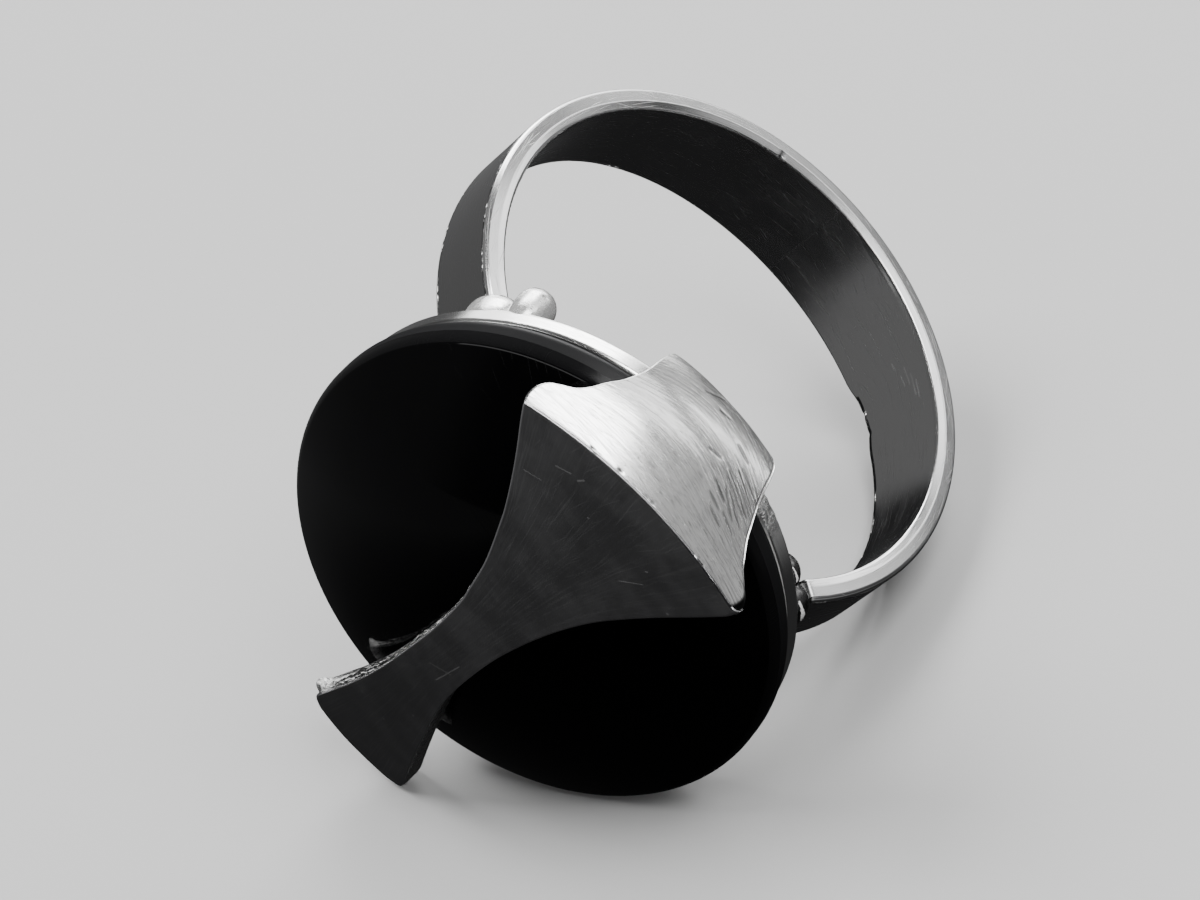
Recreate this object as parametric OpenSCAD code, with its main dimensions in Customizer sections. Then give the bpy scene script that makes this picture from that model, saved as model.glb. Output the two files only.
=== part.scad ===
// A silver finger ring with a large round onyx. A narrow flat band carries a
// round back plate with a low collar. The domed black onyx stands in the collar,
// and a bent strap of silver sheet is soldered to the collar on one side, folds
// over the stone and reaches past it on the other. Small silver balls fill the
// corners between band and plate. Sizes in millimetres.
//
// The ring is drawn upright about the middle of the finger hole: X runs across
// the finger, Y along it and Z up through the stone. It is then laid down on the
// table, where it stands on one edge of the band, the edge of the back plate and
// a corner of the strap.

/* [Band] */
// Inside diameter of the finger hole
finger_d = 17.5; // [14:0.1:23]
// Thickness of the band
band_t = 0.8; // [0.6:0.05:1.5]
// Width of the band along the finger, at the back of the finger
band_w = 4.5; // [3:0.05:8]
// Width of the band beside the head
band_head_w = 3.05; // [2:0.05:8]
// Place of the band's near edge along the finger
near_edge = 2.45; // [1:0.05:4]
// Rounding of the band's edges
band_round = 0.25; // [0.1:0.05:0.35]

/* [Back plate and collar] */
// Outside diameter of plate and collar
cup_d = 17.05; // [14:0.05:20]
// Height from the underside of the plate to the top of the collar
cup_h = 0.72; // [0.6:0.01:1.5]
// Thickness of the back plate
plate_t = 0.42; // [0.3:0.01:0.6]
// Thickness of the collar wall
collar_t = 0.3; // [0.2:0.05:0.6]
// Head set off the middle of the hole, across the finger
head_x = 0.7; // [-1:0.05:1]
// Head set off the middle of the hole, along the finger
head_y = -0.95; // [-1.5:0.05:1.5]

/* [Onyx] */
// Greatest diameter of the stone
stone_d = 17.46; // [15:0.02:20]
// Height of the stone's crown above the underside of the plate
crown_h = 4.47; // [3:0.01:7]
// Height where the upright side ends and the shoulder begins
side_h = 1.68; // [1.4:0.01:2.5]
// Radius of the shoulder between side and dome
shoulder_r = 0.54; // [0.2:0.01:1]
// Radius of the round under the girdle
under_r = 0.58; // [0.3:0.01:1]
// Space left round the stone where it stands in the collar
seat_gap = 0.07; // [0.05:0.01:0.2]

/* [Strap] */
// Thickness of the strap's sheet
strap_t = 1.0; // [0.6:0.05:1.2]
// Height of the strap's outer face over the crown
strap_h = 5.58; // [4:0.01:8]
// Bending radius of the broad half, from the crown to the crease
near_r = 62; // [30:1:120]
// Bending radius of the narrow half, from the crown to the tail
far_r = 24; // [15:0.5:60]
// Half width of the waist on the left of the head's middle
waist_left = 0.95; // [0.5:0.05:2]
// Half width of the waist on the right of the head's middle
waist_right = 1.0; // [0.5:0.05:2]
// Radius of the left border, waist to crease
left_near_r = 14.2; // [8:0.1:30]
// Radius of the left border, waist to tail
left_far_r = 120; // [30:5:300]
// Radius of the right border, waist to crease
right_near_r = 14; // [8:0.1:30]
// Radius of the right border, waist to tail
right_far_r = 21; // [12:0.5:60]
// Reach of the tail from the head's middle
tail_reach = 11.1; // [9:0.1:14]
// Radius of the rounded end of the tail
tail_end_r = 3.3; // [2.2:0.1:8]
// How far right of the head's middle the tail's end lies
tail_x = 0.72; // [-1:0.02:2]

/* [Flap] */
// Bending radius of the flap's outer face, top to bottom
flap_r = 5.45; // [4:0.05:10]
// Distance of the centre of that bend from the head's middle
flap_y = 4.43; // [2:0.01:6]
// Height of the centre of that bend
flap_z = 1.76; // [0:0.01:4]
// Radius of the flap's bend round the head, seen from above
flap_round_r = 19.38; // [12:0.01:60]
// Middle of that bend to the right of the head's middle
flap_x = 0.6; // [-2:0.05:2]
// Distance of the flap's left border from the head's middle, at its narrowest
flap_left = 2.55; // [1.5:0.05:4]
// Radius of the left border's hollow
flap_left_r = 4.2; // [3:0.1:10]
// Distance of the flap's right border from the head's middle, at its narrowest
flap_right = 2.33; // [1.5:0.01:4]
// Radius of the right border's hollow
flap_right_r = 4.4; // [3:0.1:10]
// Radius of the flap's rounded bottom edge
flap_foot_r = 6.02; // [4:0.02:12]

/* [Balls] */
// Diameter of each ball
ball_d = 1.46; // [1:0.02:2]

/* [Lay on the table] */
// Turn about the X axis that brings the strap side round
lay_x = 74.61; // [-180:0.01:180]
// Turn about the Y axis that tips the ring on its side
lay_y = 48.25; // [-180:0.01:180]
// Turn on the table
lay_z = -47.9; // [-180:0.1:180]
// Move to the middle of its footprint, X
move_x = 3.188; // [-20:0.001:20]
// Move to the middle of its footprint, Y
move_y = 3.295; // [-20:0.001:20]
// Lift onto the table
lift = 7.976; // [0:0.001:20]

/* [Hidden] */
$fn = 96;
finger_r = finger_d / 2;
cup_r = cup_d / 2;
stone_r = stone_d / 2;
// the stone stands on the plate, just inside the collar
seat_r = cup_r - collar_t - seat_gap;
foot_h = plate_t + seat_gap;
girdle_h = cup_h + under_r + 0.03;
// the dome meets the shoulder without an edge
shoulder_x = stone_r - shoulder_r;
dome_rise = crown_h - side_h;
dome_r = (pow(shoulder_x, 2) + pow(dome_rise, 2) - pow(shoulder_r, 2)) / (2 * (dome_rise - shoulder_r));
dome_z = crown_h - dome_r;
meet_x = shoulder_x * dome_r / (dome_r - shoulder_r);
// borders of the strap: side, way along the strap, waist's half width,
// place of the waist along the finger, radius of the hollow
BORDERS = [
    [-1, 1, waist_left, -1.5, left_near_r],
    [-1, -1, waist_left, -1.5, left_far_r],
    [1, 1, waist_right, -1.0, right_near_r],
    [1, -1, waist_right, -1.0, right_far_r]
];
// ends of the flap's top edge, left and right of the head's middle
flap_left_end = 4.65;
flap_right_end = 4.05;
// heights at which the flap's borders are narrowest
flap_left_z = 0.8;
flap_right_z = 1.0;
// lowest point of the flap's foot, across the finger
flap_foot_x = -0.5;
// where the flap begins behind the crease, and the height it stays under there
flap_back = 7.3;
crease_h = 3.9;
// size of cutting blocks, larger than the head
room = 16;
// each ball: across the finger, along the finger, height above the hole's middle
BALLS = [
    [-6.0, 2.98, 8.04],
    [-5.37, 4.56, 8.04],
    [5.88, 4.48, 8.04],
    [6.8, 3.84, 8.04]
];

module band_profile() {
    translate([finger_r, -near_edge + band_round])
        square([band_t, band_w - band_round]);
    translate([finger_r + band_round, -near_edge])
        square([band_t - 2 * band_round, band_w]);
    for (r = [finger_r + band_round, finger_r + band_t - band_round])
        translate([r, -near_edge + band_round])
            circle(r = band_round);
}

// block that leaves the band its full width at the back and less beside the head
module band_taper() {
    back_y = near_edge - band_w;
    head_y = near_edge - band_head_w;
    translate([-room, 0, 0])
        rotate([90, 0, 90])
            linear_extrude(height = 2 * room)
                polygon([
                    [near_edge + 1, -finger_r - band_t],
                    [near_edge + 1, room],
                    [head_y, room],
                    [head_y, 0],
                    [back_y, -finger_r - band_t]
                ]);
}

// closed hoop, filed flat on top where the plate lies on it
module band() {
    difference() {
        intersection() {
            rotate([90, 0, 0])
                rotate_extrude()
                    band_profile();
            band_taper();
        }
        translate([-finger_r, -band_w, finger_r + plate_t - 0.1])
            cube([finger_d, 2 * band_w, 5]);
    }
}

// puts a part in place on top of the band
module on_head() {
    translate([head_x, head_y, finger_r])
        children();
}

module back_plate() {
    on_head()
        difference() {
            cylinder(r = cup_r, h = cup_h);
            translate([0, 0, plate_t])
                cylinder(r = cup_r - collar_t, h = cup_h);
        }
}

module balls() {
    for (place = BALLS)
        translate(place)
            sphere(d = ball_d);
}

// everything under the strap's outer face, taken in by the depth given
module under_sheet(depth) {
    translate([-8, 0, strap_h - near_r])
        intersection() {
            rotate([0, 90, 0])
                cylinder(r = near_r - depth, h = 16, $fn = 360);
            translate([0, 0, near_r - 12])
                cube([16, 14, 14]);
        }
    translate([-8, 0, strap_h - far_r])
        intersection() {
            rotate([0, 90, 0])
                cylinder(r = far_r - depth, h = 16, $fn = 360);
            translate([0, -14, far_r - 12])
                cube([16, 14, 14]);
        }
}

// everything inside the flap's outer face, taken in by the depth given
module inside_flap(depth) {
    bend_r = flap_round_r - flap_r;
    translate([flap_x, flap_y - bend_r, 0])
        rotate_extrude($fn = 360) {
            translate([0, -2.5])
                square([bend_r, 9]);
            intersection() {
                translate([bend_r, flap_z])
                    circle(r = flap_r - depth);
                translate([bend_r - 1, -2.5])
                    square([flap_r + 2, 9]);
            }
        }
}

// the bent sheet before its outline is cut
module bent_sheet() {
    difference() {
        intersection() {
            under_sheet(0);
            inside_flap(0);
        }
        intersection() {
            under_sheet(strap_t);
            inside_flap(strap_t);
        }
    }
}

// what one hollow border takes away: side -1 is left and 1 right,
// way 1 runs from the waist to the crease and -1 to the tail
module border_hollow(side, way, waist_x, waist_y, hollow_r) {
    intersection() {
        translate([side * (waist_x + hollow_r), waist_y])
            circle(r = hollow_r, $fn = 360);
        translate([side > 0 ? 0 : -room, way > 0 ? waist_y : waist_y - room])
            square(room);
    }
}

// outline of the strap seen from above: hollow borders, rounded tail
module plan_outline() {
    difference() {
        union() {
            translate([-room / 2, tail_end_r - tail_reach])
                square([room, 2 * room]);
            intersection() {
                translate([tail_x, tail_end_r - tail_reach])
                    circle(r = tail_end_r);
                translate([-room / 2, tail_end_r - tail_reach - room])
                    square(room);
            }
        }
        for (b = BORDERS)
            border_hollow(b[0], b[1], b[2], b[3], b[4]);
    }
}

// outline of the flap seen from the front
module flap_outline() {
    difference() {
        intersection() {
            translate([-flap_left_end, -1])
                square([flap_left_end + flap_right_end, 7]);
            translate([flap_foot_x, flap_foot_r - 0.02])
                circle(r = flap_foot_r);
        }
        translate([-flap_left - flap_left_r, flap_left_z])
            circle(r = flap_left_r);
        translate([flap_right + flap_right_r, flap_right_z])
            circle(r = flap_right_r);
    }
}

// block with the flap's outline, between two heights
module flap_zone(low, high) {
    translate([0, flap_back + 4, low])
        rotate([90, 0, 0])
            linear_extrude(height = 4)
                intersection() {
                    translate([0, -low])
                        flap_outline();
                    translate([-room / 2, 0])
                        square([room, high - low]);
                }
}

// block with the strap's outline; behind the crease it stays above the flap
module strap_zone() {
    intersection() {
        translate([0, 0, -1])
            linear_extrude(height = 8)
                plan_outline();
        union() {
            translate([-room / 2, -room, -1])
                cube([room, room + flap_back - 2, 8]);
            translate([-room / 2, flap_back - 3, crease_h])
                cube([room, room, 8]);
        }
    }
}

module strap() {
    on_head() {
        intersection() {
            bent_sheet();
            union() {
                strap_zone();
                flap_zone(-0.5, 6);
            }
        }
        // solder between the flap's foot and the collar
        difference() {
            intersection() {
                inside_flap(0.3);
                flap_zone(0.1, cup_h - 0.07);
            }
            translate([0, 0, -1])
                cylinder(r = cup_r - 0.15, h = 3);
        }
    }
}

module onyx_profile() {
    translate([0, foot_h])
        square([seat_r, side_h - foot_h]);
    translate([0, girdle_h])
        square([stone_r, side_h - girdle_h]);
    translate([stone_r - under_r, girdle_h])
        circle(r = under_r);
    translate([shoulder_x, side_h])
        circle(r = shoulder_r);
    intersection() {
        translate([0, dome_z])
            circle(r = dome_r, $fn = 360);
        translate([0, girdle_h])
            square([meet_x, crown_h]);
    }
}

module lay_down() {
    translate([move_x, move_y, lift])
        rotate([lay_x, lay_y, lay_z])
            children();
}

module silver_setting() {
    color([0.78, 0.78, 0.8])
        lay_down() {
            band();
            back_plate();
            balls();
            strap();
        }
}

module onyx() {
    color([0.03, 0.03, 0.035])
        lay_down()
            on_head()
                rotate_extrude($fn = 180)
                    onyx_profile();
}

silver_setting();
onyx();
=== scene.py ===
import math
import bpy
import numpy as np
from mathutils import Matrix, Vector, noise


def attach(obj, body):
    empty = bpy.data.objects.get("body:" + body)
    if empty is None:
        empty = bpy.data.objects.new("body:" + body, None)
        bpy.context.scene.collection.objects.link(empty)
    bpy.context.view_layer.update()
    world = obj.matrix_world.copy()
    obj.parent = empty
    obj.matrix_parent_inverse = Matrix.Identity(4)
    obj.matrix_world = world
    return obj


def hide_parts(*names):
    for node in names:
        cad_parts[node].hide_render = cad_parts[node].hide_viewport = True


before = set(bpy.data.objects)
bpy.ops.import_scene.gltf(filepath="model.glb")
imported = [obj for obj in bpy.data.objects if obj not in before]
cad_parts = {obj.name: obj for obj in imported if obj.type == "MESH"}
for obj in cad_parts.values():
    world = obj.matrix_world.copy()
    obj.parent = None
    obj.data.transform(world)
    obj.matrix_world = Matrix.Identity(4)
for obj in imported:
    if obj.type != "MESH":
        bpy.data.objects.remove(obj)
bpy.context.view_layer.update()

# ---------------------------------------------------------------- band
# Narrow flat hoop of silver, wider at the back of the finger than beside the
# head. Bent from strip, soldered shut, filed and polished; its near edge has
# two soft facets. The plate is soldered onto its filed top.
HOLE_R = 8.75
BAND_T = 0.8
NEAR_EDGE = 2.45
FAR_EDGE_HEAD = -0.6
FAR_EDGE_SLOPE = 0.154
BAND_TOP = 9.07

LAY_TURN = (Matrix.Rotation(math.radians(-47.9), 3, "Z")
            @ Matrix.Rotation(math.radians(48.25), 3, "Y")
            @ Matrix.Rotation(math.radians(74.61), 3, "X"))
LAY_MOVE = np.array([3.188, 3.295, 7.976])


def laid(points):
    """Points of the upright ring in millimetres, laid down on the table in metres."""
    return (np.asarray(points, float) @ np.array(LAY_TURN).T + LAY_MOVE) / 1000


def rough(point, size, seed=0.0):
    """Even noise between -1 and 1 with bumps of the given size in millimetres."""
    return noise.noise(Vector(point) / size + Vector((seed, seed * 1.7, seed * 0.3)))


def ripple(points, size, seed=0.0):
    """The same noise for a list of points."""
    return np.array([rough(p, size, seed) for p in points])


def make_piece(name, node, points, faces, uv, values, materials, face_material=None):
    """Mesh object from ring points, with a grain map in millimetres and painted values."""
    mesh = bpy.data.meshes.new(name)
    mesh.from_pydata(laid(points).tolist(), [], faces)
    mesh.validate()
    mesh.polygons.foreach_set("use_smooth", [True] * len(mesh.polygons))
    layer = mesh.uv_layers.new(name="grain")
    corner = np.empty(len(mesh.loops), dtype=np.int32)
    mesh.loops.foreach_get("vertex_index", corner)
    layer.data.foreach_set("uv", np.asarray(uv, np.float32)[corner].ravel())
    for key, value in values.items():
        painted = mesh.attributes.new(key, "FLOAT", "POINT")
        painted.data.foreach_set("value", np.asarray(value, np.float32))
    for material in materials:
        mesh.materials.append(material)
    if face_material is not None:
        mesh.polygons.foreach_set("material_index", face_material)
    mesh.update()
    piece = bpy.data.objects.new(name, mesh)
    bpy.context.collection.objects.link(piece)
    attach(piece, "root")
    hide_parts(node)
    return piece


def grid_faces(rows, columns, wrap_rows=False, wrap_columns=False, start=0):
    """Four-sided faces between the points of a grid, closed on itself where asked."""
    faces = []
    for i in range(rows if wrap_rows else rows - 1):
        for j in range(columns if wrap_columns else columns - 1):
            a, b = i * columns + j, i * columns + (j + 1) % columns
            c, d = ((i + 1) % rows) * columns + (j + 1) % columns, ((i + 1) % rows) * columns + j
            faces.append((start + a, start + b, start + c, start + d))
    return faces


def group(name, inputs, outputs):
    """Empty shader group with named inputs and outputs."""
    tree = bpy.data.node_groups.new(name, "ShaderNodeTree")
    for label, kind, value in inputs:
        socket = tree.interface.new_socket(label, in_out="INPUT", socket_type=kind)
        if value is not None:
            socket.default_value = value
    for label, kind in outputs:
        tree.interface.new_socket(label, in_out="OUTPUT", socket_type=kind)
    return tree, tree.nodes.new("NodeGroupInput"), tree.nodes.new("NodeGroupOutput")


def wire(tree, node, **sockets):
    """Sets a node's inputs by name, from a value or from another node's output."""
    for label, value in sockets.items():
        socket = node.inputs[int(label[1:]) if label[0] == "_" else label.replace("_", " ")]
        if hasattr(value, "is_linked"):
            tree.links.new(value, socket)
        else:
            socket.default_value = value
    return node


def math_node(tree, operation, a, b=0.0, clamp=False):
    """Output of a node that reckons with one or two values."""
    node = tree.nodes.new("ShaderNodeMath")
    node.operation, node.use_clamp = operation, clamp
    return wire(tree, node, _0=a, _1=b).outputs[0]


def remap(tree, value, low, high, to_low=0.0, to_high=1.0):
    """Value moved smoothly from one range to another."""
    node = tree.nodes.new("ShaderNodeMapRange")
    node.interpolation_type = "SMOOTHSTEP"
    wire(tree, node, Value=value, From_Min=low, From_Max=high, To_Min=to_low, To_Max=to_high)
    return node.outputs["Result"]


def stretched(tree, vector, along, across, detail=2.0, seed=0.0, turn=0.0):
    """Noise drawn out along the first direction, its cell sizes in millimetres."""
    mapping = tree.nodes.new("ShaderNodeMapping")
    mapping.vector_type = "POINT"
    wire(tree, mapping, Vector=vector, Rotation=(0.0, 0.0, turn), Location=(seed, seed * 0.7, 0.0))
    scale = tree.nodes.new("ShaderNodeVectorMath")
    scale.operation = "MULTIPLY"
    wire(tree, scale, _0=mapping.outputs[0], _1=(1 / along, 1 / across, 1.0))
    texture = tree.nodes.new("ShaderNodeTexNoise")
    texture.noise_dimensions = "2D"
    wire(tree, texture, Vector=scale.outputs[0], Scale=1.0, Detail=detail, Roughness=0.6)
    return texture.outputs["Fac"]


# brushing: fine parallel lines along the grain, in two sizes
brushing, given, result = group(
    "brushing", [("Grain", "NodeSocketVector", None), ("Coarse Share", "NodeSocketFloat", 0.4)],
    [("Lines", "NodeSocketFloat")])
fine = stretched(brushing, given.outputs["Grain"], 2.5, 0.045, 3.0, 3.1)
coarse = stretched(brushing, given.outputs["Grain"], 5.0, 0.16, 2.0, 7.7)
share = math_node(brushing, "MULTIPLY", coarse, given.outputs["Coarse Share"])
rest = math_node(brushing, "SUBTRACT", 1.0, given.outputs["Coarse Share"])
lines = math_node(brushing, "ADD", share, math_node(brushing, "MULTIPLY", fine, rest))
brushing.links.new(lines, result.inputs["Lines"])

# scratches: sparse hairlines, most of them nearly along the grain
scratches, given, result = group(
    "scratches", [("Grain", "NodeSocketVector", None), ("Amount", "NodeSocketFloat", 0.5)],
    [("Mask", "NodeSocketFloat")])
total = None
for turn, seed, length in ((0.03, 11.0, 3.6), (-0.06, 23.0, 2.8), (0.12, 37.0, 2.0), (-0.3, 53.0, 1.2)):
    hair = stretched(scratches, given.outputs["Grain"], length, 0.035, 0.0, seed, turn)
    limit = math_node(scratches, "SUBTRACT", 0.84,
                      math_node(scratches, "MULTIPLY", given.outputs["Amount"], 0.1))
    top = math_node(scratches, "ADD", limit, 0.05)
    mask = remap(scratches, hair, limit, top)
    total = mask if total is None else math_node(scratches, "MAXIMUM", total, mask)
scratches.links.new(total, result.inputs["Mask"])

# pitting: small irregular hollows
pitting, given, result = group(
    "pitting", [("Grain", "NodeSocketVector", None), ("Pit Size", "NodeSocketFloat", 0.12)],
    [("Hollow", "NodeSocketFloat")])
scaled = pitting.nodes.new("ShaderNodeVectorMath")
scaled.operation = "SCALE"
wire(pitting, scaled, Vector=given.outputs["Grain"],
     Scale=math_node(pitting, "DIVIDE", 1.0, given.outputs["Pit Size"]))
texture = pitting.nodes.new("ShaderNodeTexNoise")
wire(pitting, texture, Vector=scaled.outputs[0], Scale=1.0, Detail=4.0, Roughness=0.7)
pitting.links.new(remap(pitting, texture.outputs["Fac"], 0.35, 0.62), result.inputs["Hollow"])

# one_scratch: a single straight scratch between two places on the grain map
one_scratch, given, result = group(
    "one_scratch", [("Grain", "NodeSocketVector", None), ("From", "NodeSocketVector", None),
                    ("To", "NodeSocketVector", None), ("Width", "NodeSocketFloat", 0.03)],
    [("Mask", "NodeSocketFloat")])


def vector_node(tree, operation, a, b):
    """Output of a node that reckons with two directions or places."""
    node = tree.nodes.new("ShaderNodeVectorMath")
    node.operation = operation
    wire(tree, node, _0=a, _1=b)
    return node.outputs["Value" if operation in ("DOT_PRODUCT", "DISTANCE") else "Vector"]


run = vector_node(one_scratch, "SUBTRACT", given.outputs["To"], given.outputs["From"])
here = vector_node(one_scratch, "SUBTRACT", given.outputs["Grain"], given.outputs["From"])
share = math_node(one_scratch, "DIVIDE", vector_node(one_scratch, "DOT_PRODUCT", here, run),
                  vector_node(one_scratch, "DOT_PRODUCT", run, run), clamp=True)
reach = one_scratch.nodes.new("ShaderNodeVectorMath")
reach.operation = "SCALE"
wire(one_scratch, reach, Vector=run, Scale=share)
off = vector_node(one_scratch, "DISTANCE", here, reach.outputs[0])
core = math_node(one_scratch, "MULTIPLY", given.outputs["Width"], 0.3)
one_scratch.links.new(remap(one_scratch, off, given.outputs["Width"], core), result.inputs["Mask"])


def new_material(name):
    """Material with its node tree, its shader and the grain map in millimetres."""
    material = bpy.data.materials.new(name)
    material.use_nodes = True
    tree = material.node_tree
    shader = tree.nodes["Principled BSDF"]
    grain = tree.nodes.new("ShaderNodeUVMap")
    grain.uv_map = "grain"
    return material, tree, shader, grain.outputs[0]


def use(tree, of, **sockets):
    """Places a shader group in a material with its own values."""
    node = tree.nodes.new("ShaderNodeGroup")
    node.node_tree = of
    return wire(tree, node, **sockets)


def painted(tree, name):
    """A value painted on the mesh."""
    node = tree.nodes.new("ShaderNodeAttribute")
    node.attribute_name = name
    return node.outputs["Fac"]


def blend(tree, share, a, b):
    """Colour between two colours."""
    node = tree.nodes.new("ShaderNodeMix")
    node.data_type = "RGBA"
    wire(tree, node, _0=share, _6=a, _7=b)
    return node.outputs[2]


def bump(tree, height, distance, normal=None):
    """Normal of a surface with the given height, over one that is bumped already."""
    node = tree.nodes.new("ShaderNodeBump")
    wire(tree, node, Height=height, Distance=distance, Strength=1.0)
    if normal is not None:
        tree.links.new(normal, node.inputs["Normal"])
    return node.outputs[0]


SCUFFS = (((22.57, 23.09), (21.9, 23.1), 0.05), ((22.22, 23.31), (21.38, 23.32), 0.06),
          ((21.87, 23.52), (21.22, 23.49), 0.05), ((22.98, 22.56), (22.74, 22.59), 0.05),
          ((22.38, 22.76), (21.95, 22.79), 0.04))

band_silver, tree, shader, grain = new_material("band_silver")
lines = use(tree, brushing, Grain=grain, Coarse_Share=0.35).outputs["Lines"]
marks = use(tree, scratches, Grain=grain, Amount=0.05).outputs["Mask"]
painted_shade_share = painted(tree, "painted_shade")
wear_and_highlight = stretched(tree, grain, 3.0, 1.2, 3.0, 5.0)
# short bright scuffs inside, near the edge at the right
scuff = None
for start, end, width in SCUFFS:
    mark = use(tree, one_scratch, Grain=grain, From=(*start, 0.0), To=(*end, 0.0), Width=width)
    mark = mark.outputs["Mask"]
    scuff = mark if scuff is None else math_node(tree, "MAXIMUM", scuff, mark)
scuff = math_node(tree, "MULTIPLY", scuff, remap(tree, wear_and_highlight, 0.3, 0.6, 0.3, 1.0))
# painted shade darkens the silver's colour where it would mirror dark
tone = math_node(tree, "SUBTRACT", 0.9, math_node(tree, "MULTIPLY", painted_shade_share, 0.58))
rubbed = math_node(tree, "MULTIPLY", math_node(tree, "MAXIMUM", marks, scuff), 0.12)
wire(tree, shader, Metallic=1.0,
     Base_Color=math_node(tree, "ADD", tone, math_node(tree, "MULTIPLY", scuff, 0.3)),
     Roughness=math_node(tree, "ADD", remap(tree, wear_and_highlight, 0.3, 0.7, 0.16, 0.22), rubbed),
     Normal=bump(tree, math_node(tree, "SUBTRACT", lines, marks), 0.0000008))

NEAR_INNER_ROUND = 0.06
NEAR_OUTER_ROUND = 0.11
FAR_OUTER_ROUND = 0.18
FAR_INNER_ROUND = 0.12
RIDGE_H = 0.06
RIDGE_AT = 0.29
NOTCH_DEGREE = 161.0
END_DEGREE = 53.4
END_CUT = 0.45

# outline of the strip: height over the hole, place along the finger past the edge,
# share of the width and 1 on the inside
band_profile = [(0.0, 0.0, s, 1.0)
                for s in [*np.linspace(0.03, 0.93, 32), 0.945, 0.95, 0.955, 0.96, 0.97]]
for a in np.radians(np.linspace(0, 84, 7)):
    band_profile.append((NEAR_INNER_ROUND - NEAR_INNER_ROUND * math.cos(a),
                         -0.12 + NEAR_INNER_ROUND * math.sin(a), 1.0, 0.0))
for q in np.linspace(0.08, 0.66, 18):
    rise = RIDGE_H * (q - 0.06) / 0.23 if q < RIDGE_AT else RIDGE_H * (0.7 - q) / 0.41
    band_profile.append((q, -0.06 + rise, 1.0, 0.0))
for a in np.radians(np.linspace(8, 90, 8)):
    band_profile.append((0.69 + NEAR_OUTER_ROUND * math.sin(a),
                         -0.17 + NEAR_OUTER_ROUND * math.cos(a), 1.0, 0.0))
for s in np.linspace(0.95, 0.05, 22):
    band_profile.append((BAND_T, 0.0, s, 0.0))
for a in np.radians(np.linspace(0, 90, 7)):
    band_profile.append((0.62 + FAR_OUTER_ROUND * math.cos(a),
                         FAR_OUTER_ROUND - FAR_OUTER_ROUND * math.sin(a), 0.0, 0.0))
for q in np.linspace(0.5, 0.22, 5):
    band_profile.append((q, 0.0, 0.0, 0.0))
for a in np.radians(np.linspace(0, 90, 6)):
    band_profile.append((FAR_INNER_ROUND - FAR_INNER_ROUND * math.sin(a),
                         FAR_INNER_ROUND - FAR_INNER_ROUND * math.cos(a), 0.0, 0.0))

STATIONS = 620
points, uv, painted_shade = [], [], []
for k in range(STATIONS):
    # degree 0 is at the head, and degrees go up to the ring's right
    turn = 2 * math.pi * k / STATIONS
    degree = math.degrees(turn) if turn <= math.pi else math.degrees(turn) - 360
    depth = HOLE_R * math.cos(turn)
    far = FAR_EDGE_HEAD + min(0.0, depth) * FAR_EDGE_SLOPE
    # the far edge was filed back at one place and has two nicks there
    far += 0.2 * math.exp(-((degree - 138) / 7) ** 4)
    far += 0.06 * math.exp(-((degree - 138.6) / 0.8) ** 2)
    far += 0.05 * math.exp(-((degree - 133.5) / 0.7) ** 2)
    # notch and burr on the inner near edge
    notch = 0.1 * math.exp(-((degree + NOTCH_DEGREE) / 0.5) ** 2)
    notch -= 0.02 * math.exp(-((degree + 156.4) / 0.9) ** 2)
    cut_back = 0.04 / (1 + math.exp(-(degree + NOTCH_DEGREE) * 4)) / (1 + math.exp((degree + 140.0) * 0.3))
    # filed away beside the right balls; a burnished line runs along the inside
    near = NEAR_EDGE - (END_CUT / (1 + math.exp((degree - END_DEGREE) * 5)) if degree > 0 else 0.0)
    burnished = 0.03 / (1 + math.exp((degree - 170) * 0.7)) / (1 + math.exp((112 - degree) * 0.7))
    ridge = 1 / (1 + math.exp((80 - abs(degree)) * 0.12))
    for q, dy, s, inner in band_profile:
        on_facets = s == 1.0 and 0.08 <= q <= 0.66
        y = far + (near - far) * s + (dy * (0.1 + 0.9 * ridge) if on_facets else dy)
        radius = HOLE_R + q + (burnished if inner and 0.94 < s < 0.965 else 0.0)
        if s == 1.0 and q < 0.3:
            radius += (notch + cut_back) * (1 - q / 0.3)
        place = np.array([math.sin(turn) * radius, y, math.cos(turn) * radius])
        swell = 0.008 * rough(place, 2.8) + 0.001 * rough(place, 0.6, 4.0)
        place += swell * np.array([math.sin(turn), 0.3 if s == 1.0 else 0.0, math.cos(turn)])
        # the top is filed flat where the plate sits
        place[2] = min(place[2], BAND_TOP)
        points.append(place)
        uv.append((math.radians(degree) * 9.1, s * 4.5 + q * (1 if s == 1.0 else -1) + (20 if inner else 0)))
        # painted shade: dark inside and outside, in the notch and on the cut, where the silver mirrors dark
        cut = 1.45 if s == 1.0 and 52.0 < degree < 54.2 else 0.0
        painted_shade.append(max(0.6 * inner, 0.9 if q > 0.7 and s < 0.99 else 0.0, cut,
                        14 * notch if s == 1.0 and q < 0.3 else 0.0))
make_piece("band", "silver_setting", points,
           grid_faces(STATIONS, len(band_profile), True, True), uv, {"painted_shade": painted_shade}, [band_silver])

# ------------------------------------------------------ back plate and collar
# Round tray of thin silver sheet: a back plate with a low collar soldered round
# it. The stone stands in it. The collar's rim is filed by hand and is pitted
# beside the strap's foot, where solder ran.
HEAD = np.array([0.7, -0.95, 8.75])
CUP_R = 8.525
CUP_H = 0.72
PLATE_T = 0.42
COLLAR_T = 0.3
FOOT_ROUND = 0.12
RIM_ROUND = 0.14
RIM_INNER_ROUND = 0.08
PITTED_DEGREE = 21
DARK_DEGREE = -62
HIGHLIGHT_DEGREES = (13, 88)

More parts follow.
